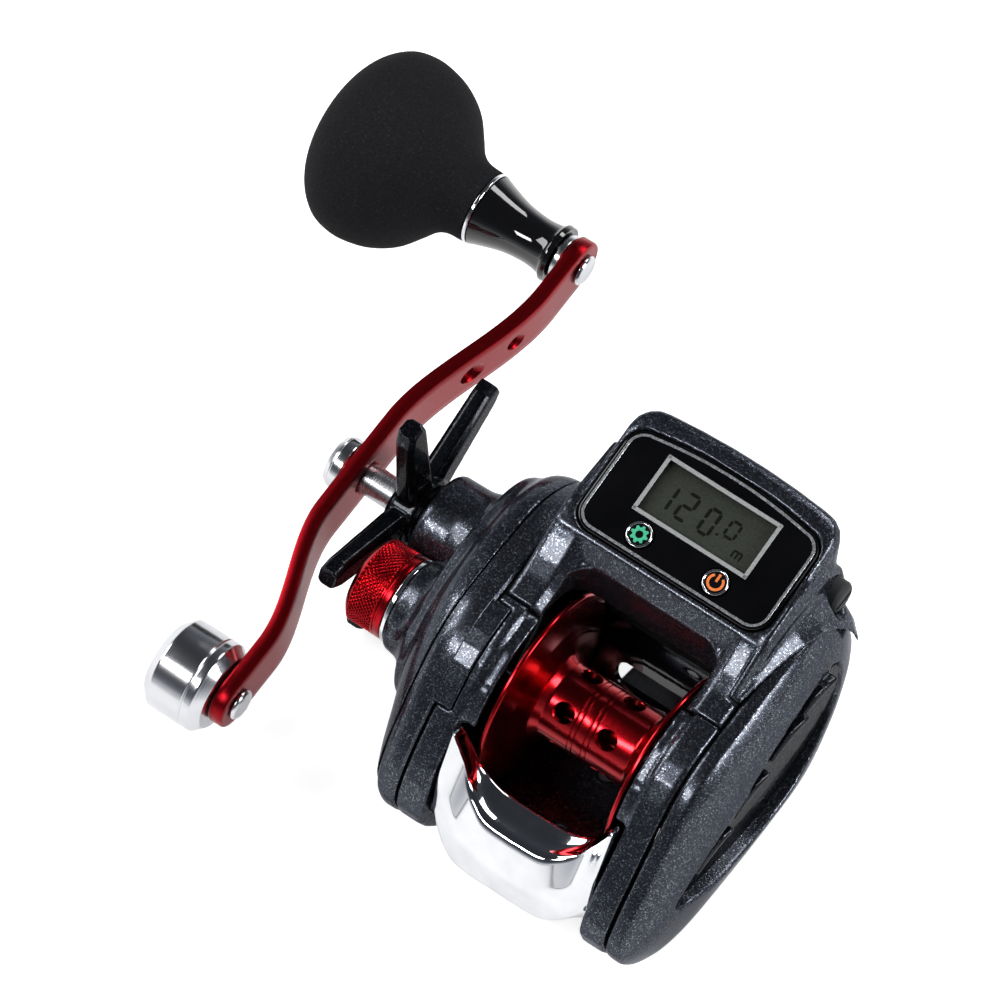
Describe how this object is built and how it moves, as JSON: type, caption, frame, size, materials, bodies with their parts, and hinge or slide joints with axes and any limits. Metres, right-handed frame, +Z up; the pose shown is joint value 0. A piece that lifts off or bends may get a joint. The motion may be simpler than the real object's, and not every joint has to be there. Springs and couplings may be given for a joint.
{
  "type": "baitcasting reel",
  "caption": "Low-profile digital line-counter baitcasting reel with a star drag, a curved crank handle, a foam knob, a counterweight and a red aluminium spool.",
  "frame": {"origin": "middle of the reel foot's underside, below the frame", "axes": "+X towards the palm side, -X towards the handle, +Y the way the line leaves (towards the rod tip), +Z up away from the rod"},
  "size_m": [0.1244, 0.1136, 0.0529],
  "materials": {
    "stainless_steel": "satin stainless steel",
    "black_rubber": "matt black moulded nylon",
    "gloss_black_plastic": "polished black moulding",
    "chrome_plate": "bright chrome plating",
    "carbon_felt": "woven carbon friction washer",
    "red_anodised_aluminium": "red anodised, satin with polished rims",
    "green_board": "green solder mask",
    "polished_aluminium": "turned and polished",
    "machined_brass": "machined brass",
    "graphite_paint": "charcoal metallic paint with a fine flake",
    "black_foam": "dense black foam with a matt grain"
  },
  "bodies": {
    "body": {"battery": "stainless_steel", "brake_plate": "gloss_black_plastic", "cap_ring": "chrome_plate", "circuit_board": "green_board", "cover_screw_1": "stainless_steel", "cover_screw_2": "stainless_steel", "display_base": "gloss_black_plastic", "display_glass": "gloss_black_plastic", "drive_shaft_bush": "machined_brass", "foot_screw_front": "stainless_steel", "foot_screw_rear": "stainless_steel", "frame": "graphite_paint", "gear_side_cover": "graphite_paint", "gear_side_plate": "graphite_paint", "guide_rail": "stainless_steel", "lcd_module": "polished_aluminium", "line_shield": "gloss_black_plastic", "magnet_ring": "stainless_steel", "palm_grille": "gloss_black_plastic", "palm_side_plate": "graphite_paint", "reel_foot": "stainless_steel", "roller_clutch": "stainless_steel", "seam_key": "graphite_paint", "spool_bearing_gear": "stainless_steel", "spool_bearing_palm": "stainless_steel", "top_cover": "graphite_paint", "yoke_spring_lower": "stainless_steel", "yoke_spring_upper": "stainless_steel"},
    "handle": {"drive_shaft": "stainless_steel", "drive_gear": "machined_brass", "drag_washer": "carbon_felt", "drag_plate": "stainless_steel", "levelwind_drive_gear": "machined_brass", "spring_washer": "stainless_steel", "handle_arm": "red_anodised_aluminium", "handle_nut": "polished_aluminium", "knob_pin": "polished_aluminium", "counterweight": "polished_aluminium", "counterweight_pin": "polished_aluminium"},
    "star": {"star_drag": "gloss_black_plastic"},
    "knob": {"knob_grip": "black_foam", "knob_collar": "gloss_black_plastic", "knob_ring": "chrome_plate", "knob_bearing": "polished_aluminium"},
    "spool_set": {"spool": "red_anodised_aluminium", "spool_shaft": "stainless_steel"},
    "pinion": {"pinion_gear": "machined_brass"},
    "yoke": {"clutch_yoke": "stainless_steel"},
    "worm": {"worm_shaft": "stainless_steel", "worm_gear": "black_rubber"},
    "guide": {"line_guide": "gloss_black_plastic", "guide_insert": "polished_aluminium"},
    "clutch_bar": {"thumb_bar": "chrome_plate"},
    "tension_cap": {"cast_control_cap": "red_anodised_aluminium", "cap_shim": "carbon_felt"},
    "mode_key": {"mode_button": "gloss_black_plastic"},
    "power_key": {"power_button": "gloss_black_plastic"},
    "cell_cap": {"battery_cap": "black_rubber"}
  },
  "joints": [
    {"name": "handle_turn", "type": "hinge", "parent": "body", "child": "handle", "pos_m": [0, 0.01049, 0.01649], "axis": [1, 0, 0], "continuous": true},
    {"name": "star_turn", "type": "hinge", "parent": "handle", "child": "star", "pos_m": [0, 0.01049, 0.01649], "axis": [1, 0, 0], "range_deg": [-180, 180]},
    {"name": "knob_spin", "type": "hinge", "parent": "handle", "child": "knob", "pos_m": [0, 0.05838, 0.0198], "axis": [1, 0, 0], "continuous": true},
    {"name": "spool_spin", "type": "hinge", "parent": "body", "child": "spool_set", "pos_m": [0, -0.005, 0.0205], "axis": [1, 0, 0], "continuous": true},
    {"name": "clutch_press", "type": "slide", "parent": "body", "child": "clutch_bar", "axis": [0, 0, -1], "range_m": [0, 0.0038]},
    {"name": "yoke_lift", "type": "slide", "parent": "body", "child": "yoke", "axis": [-1, 0, 0], "range_m": [0, 0.00095], "deforming": ["yoke_spring_upper", "yoke_spring_lower"]},
    {"name": "pinion_spin", "type": "hinge", "parent": "yoke", "child": "pinion", "pos_m": [0, -0.005, 0.0205], "axis": [1, 0, 0], "continuous": true},
    {"name": "worm_spin", "type": "hinge", "parent": "body", "child": "worm", "pos_m": [0, 0.0198, 0.01219], "axis": [1, 0, 0], "continuous": true},
    {"name": "guide_slide", "type": "slide", "parent": "body", "child": "guide", "axis": [1, 0, 0], "range_m": [-0.007, 0.0105]},
    {"name": "tension_turn", "type": "hinge", "parent": "body", "child": "tension_cap", "pos_m": [0, -0.005, 0.0205], "axis": [1, 0, 0], "range_deg": [-180, 180]},
    {"name": "mode_press", "type": "slide", "parent": "body", "child": "mode_key", "axis": [0, 0.2079, -0.9781], "range_m": [0, 0.0005], "stiffness_N_per_m": 800},
    {"name": "power_press", "type": "slide", "parent": "body", "child": "power_key", "axis": [0, 0.2079, -0.9781], "range_m": [0, 0.0005], "stiffness_N_per_m": 800},
    {"name": "cell_cap_turn", "type": "hinge", "parent": "body", "child": "cell_cap", "pos_m": [0, 0.0262, 0.0378], "axis": [1, 0, 0], "range_deg": [0, 90]}
  ],
  "couplings": [
    {"joint": "spool_spin", "follows": "handle_turn", "ratio": -5.4},
    {"joint": "pinion_spin", "follows": "handle_turn", "ratio": -5.4},
    {"joint": "worm_spin", "follows": "handle_turn", "ratio": -1.9286},
    {"joint": "yoke_lift", "follows": "clutch_press", "ratio": 0.25}
  ]
}
